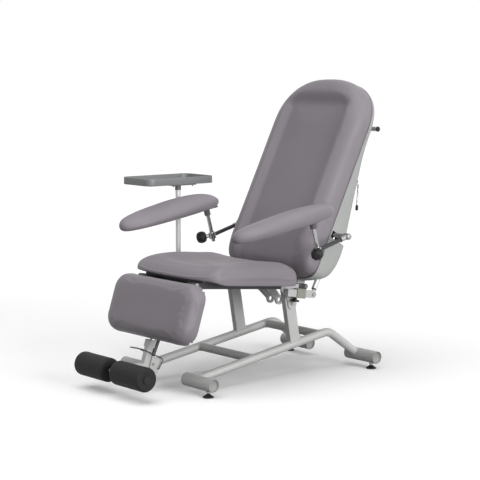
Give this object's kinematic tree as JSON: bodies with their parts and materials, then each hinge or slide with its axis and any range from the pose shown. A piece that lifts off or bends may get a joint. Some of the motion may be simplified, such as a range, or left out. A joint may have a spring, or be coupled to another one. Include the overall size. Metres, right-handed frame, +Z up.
{
  "type": "phlebotomy chair",
  "caption": "Reclining blood-collection chair on a welded tube base, with lifting leg rest, foot rollers, height-adjustable arm pads, swivel tray and gas springs.",
  "frame": {"origin": "on the floor, midway between the four levelling feet", "axes": "+Z up, the chair faces -Y, +X towards the sitter's left; the tray is on the -X side"},
  "size_m": [1.1789, 1.4412, 1.3911],
  "materials": {
    "frame_paint": "silver-grey powder coat with a fine grain",
    "dark_paint": "satin black powder coat",
    "chrome": "polished, lightly brushed on the stems",
    "zinc": "zinc plated",
    "spring_paint": "gloss black lacquer",
    "cap_plastic": "moulded, matched to the frame",
    "sleeve_plastic": "moulded, matte",
    "black_plastic": "moulded, satin",
    "vinyl": "matte soft-grain vinyl over foam",
    "plywood": "raw plywood",
    "shell_plastic": "fine-textured moulding",
    "tray_plastic": "satin moulding",
    "foam": "closed-cell foam"
  },
  "bodies": {
    "base": {"side_rails": "frame_paint", "front_cross_tube": "frame_paint", "rear_cross_tube": "frame_paint", "front_foot_tubes": "frame_paint", "rear_foot_tubes": "frame_paint", "foot_tube_caps": "cap_plastic", "uprights": "frame_paint", "seat_side_rails": "dark_paint", "seat_crossbars": "dark_paint", "seat_lugs": "frame_paint", "frame_bolts": "zinc", "actuator_clevis": "frame_paint", "seat_board": "plywood", "seat_cushion": "vinyl", "spring_anchor_bar": "frame_paint", "anchor_sleeve": "sleeve_plastic", "tray_socket": "frame_paint"},
    "back": {"back_frame": "frame_paint", "back_board": "plywood", "back_cushion": "vinyl", "rear_shell": "shell_plastic", "arm_cross_tube": "chrome", "push_bar": "chrome", "push_bar_caps": "black_plastic"},
    "leg": {"leg_frame": "frame_paint", "leg_board": "plywood", "leg_cushion": "vinyl", "foot_tube": "frame_paint", "foot_axle": "zinc", "leg_spring_bracket": "frame_paint", "leg_hinge_blocks": "black_plastic"},
    "recline_lever": {"recline_lever": "chrome"},
    "recline_spring_tube": {"recline_spring_tube": "spring_paint"},
    "recline_spring_rod": {"recline_spring_rod": "chrome"},
    "leg_spring_tube": {"leg_spring_tube": "spring_paint"},
    "leg_spring_rod": {"leg_spring_rod": "chrome"},
    "leg_release_bail": {"leg_release_bail": "dark_paint"},
    "left_front_leveller": {"left_front_leveller": "zinc"},
    "left_rear_leveller": {"left_rear_leveller": "zinc"},
    "right_front_leveller": {"right_front_leveller": "zinc"},
    "right_rear_leveller": {"right_rear_leveller": "zinc"},
    "left_arm": {"left_arm_bar": "dark_paint", "left_arm_fittings": "chrome"},
    "left_stem": {"left_arm_stem": "chrome"},
    "left_pad": {"left_pad_plate": "dark_paint", "left_arm_pad": "vinyl"},
    "left_arm_knob": {"left_arm_knob": "black_plastic"},
    "right_arm": {"right_arm_bar": "dark_paint", "right_arm_fittings": "chrome"},
    "right_stem": {"right_arm_stem": "chrome"},
    "right_pad": {"right_pad_plate": "dark_paint", "right_arm_pad": "vinyl"},
    "right_arm_knob": {"right_arm_knob": "black_plastic"},
    "left_foot_roller": {"left_foot_roller": "foam"},
    "right_foot_roller": {"right_foot_roller": "foam"},
    "tray_post": {"tray_post": "chrome"},
    "tray": {"tray_plate": "dark_paint", "tray": "tray_plastic"},
    "tray_knob": {"tray_knob": "black_plastic"},
    "anchor_knob": {"anchor_knob": "black_plastic"}
  },
  "joints": [
    {"name": "back_recline", "type": "hinge", "parent": "base", "child": "back", "pos_m": [0, 0.15, 0.422], "axis": [-1, 0, 0], "range_deg": [0, 50]},
    {"name": "leg_rest_lift", "type": "hinge", "parent": "base", "child": "leg", "pos_m": [0, -0.49653, 0.48928], "axis": [-1, 0, 0], "range_deg": [0, 60]},
    {"name": "recline_lever_pull", "type": "hinge", "parent": "back", "child": "recline_lever", "pos_m": [0, 0.38866, 0.90753], "axis": [1, 0, 0], "range_deg": [0, 20], "stiffness_Nm_per_rad": 2, "springref_deg": -17.19},
    {"name": "recline_spring_swivel", "type": "hinge", "parent": "base", "child": "recline_spring_tube", "pos_m": [0.243, 0.161, 0.3885], "axis": [-1, 0, 0], "range_deg": [0, 48.2]},
    {"name": "recline_spring_stroke", "type": "slide", "parent": "recline_spring_tube", "child": "recline_spring_rod", "axis": [0, 0.4728, 0.8812], "range_m": [-0.0277, 0]},
    {"name": "leg_spring_swivel", "type": "hinge", "parent": "leg", "child": "leg_spring_tube", "pos_m": [0, -0.59902, 0.11882], "axis": [-1, 0, 0], "range_deg": [-3.9, 0]},
    {"name": "leg_spring_stroke", "type": "slide", "parent": "leg_spring_tube", "child": "leg_spring_rod", "axis": [0, 0.4224, 0.9064], "range_m": [0, 0.0591]},
    {"name": "leg_release_pull", "type": "hinge", "parent": "leg", "child": "leg_release_bail", "pos_m": [0, -0.57387, 0.09592], "axis": [-1, 0, 0], "range_deg": [0, 10], "stiffness_Nm_per_rad": 2, "springref_deg": -17.19},
    {"name": "left_front_leveller_travel", "type": "slide", "parent": "base", "child": "left_front_leveller", "axis": [0, 0, 1], "range_m": [-0.02, 0]},
    {"name": "left_rear_leveller_travel", "type": "slide", "parent": "base", "child": "left_rear_leveller", "axis": [0, 0, 1], "range_m": [-0.02, 0]},
    {"name": "right_front_leveller_travel", "type": "slide", "parent": "base", "child": "right_front_leveller", "axis": [0, 0, 1], "range_m": [-0.02, 0]},
    {"name": "right_rear_leveller_travel", "type": "slide", "parent": "base", "child": "right_rear_leveller", "axis": [0, 0, 1], "range_m": [-0.02, 0]},
    {"name": "left_arm_lift", "type": "hinge", "parent": "back", "child": "left_arm", "pos_m": [0.387, 0.24541, 0.66612], "axis": [-1, 0, 0], "range_deg": [0, 70]},
    {"name": "left_stem_height", "type": "slide", "parent": "left_arm", "child": "left_stem", "axis": [0, -0.2672, 0.9636], "range_m": [-0.07, 0.01]},
    {"name": "left_pad_swivel", "type": "hinge", "parent": "left_stem", "child": "left_pad", "pos_m": [0.387, 0.03186, 0.74388], "axis": [0, 0.2672, -0.9636], "range_deg": [-10, 20]},
    {"name": "left_arm_knob_turn", "type": "hinge", "parent": "left_arm", "child": "left_arm_knob", "pos_m": [0.387, 0.06713, 0.61668], "axis": [0.6691, -0.7161, -0.1986], "continuous": true},
    {"name": "right_arm_lift", "type": "hinge", "parent": "back", "child": "right_arm", "pos_m": [-0.387, 0.24541, 0.66612], "axis": [-1, 0, 0], "range_deg": [0, 70]},
    {"name": "right_stem_height", "type": "slide", "parent": "right_arm", "child": "right_stem", "axis": [0, -0.2672, 0.9636], "range_m": [-0.07, 0.01]},
    {"name": "right_pad_swivel", "type": "hinge", "parent": "right_stem", "child": "right_pad", "pos_m": [-0.387, 0.03186, 0.74388], "axis": [0, -0.2672, 0.9636], "range_deg": [-10, 20]},
    {"name": "right_arm_knob_turn", "type": "hinge", "parent": "right_arm", "child": "right_arm_knob", "pos_m": [-0.387, 0.06713, 0.61668], "axis": [-0.6691, -0.7161, -0.1986], "continuous": true},
    {"name": "left_foot_roller_spin", "type": "hinge", "parent": "leg", "child": "left_foot_roller", "pos_m": [0.1375, -0.79383, 0.10845], "axis": [1, 0, 0], "continuous": true},
    {"name": "right_foot_roller_spin", "type": "hinge", "parent": "leg", "child": "right_foot_roller", "pos_m": [-0.1375, -0.79383, 0.10845], "axis": [1, 0, 0], "continuous": true},
    {"name": "tray_post_height", "type": "slide", "parent": "base", "child": "tray_post", "axis": [0, 0, 1], "range_m": [-0.08, 0.02]},
    {"name": "tray_swivel", "type": "hinge", "parent": "tray_post", "child": "tray", "pos_m": [-0.5, -0.058, 0.867], "axis": [0, 0, 1], "range_deg": [-60, 120]},
    {"name": "tray_knob_turn", "type": "hinge", "parent": "base", "child": "tray_knob", "pos_m": [-0.5, -0.058, 0.41703], "axis": [-1, 0, 0], "continuous": true},
    {"name": "anchor_knob_turn", "type": "hinge", "parent": "base", "child": "anchor_knob", "pos_m": [0.243, 0.06012, 0.40358], "axis": [0, 0.1478, 0.989], "continuous": true}
  ],
  "couplings": [
    {"joint": "recline_spring_swivel", "follows": "back_recline", "ratio": 0.9558},
    {"joint": "recline_spring_stroke", "follows": "back_recline", "m_per_rad": -0.031318},
    {"joint": "leg_spring_swivel", "follows": "leg_rest_lift", "ratio": -0.0602},
    {"joint": "leg_spring_stroke", "follows": "leg_rest_lift", "m_per_rad": 0.056047}
  ]
}
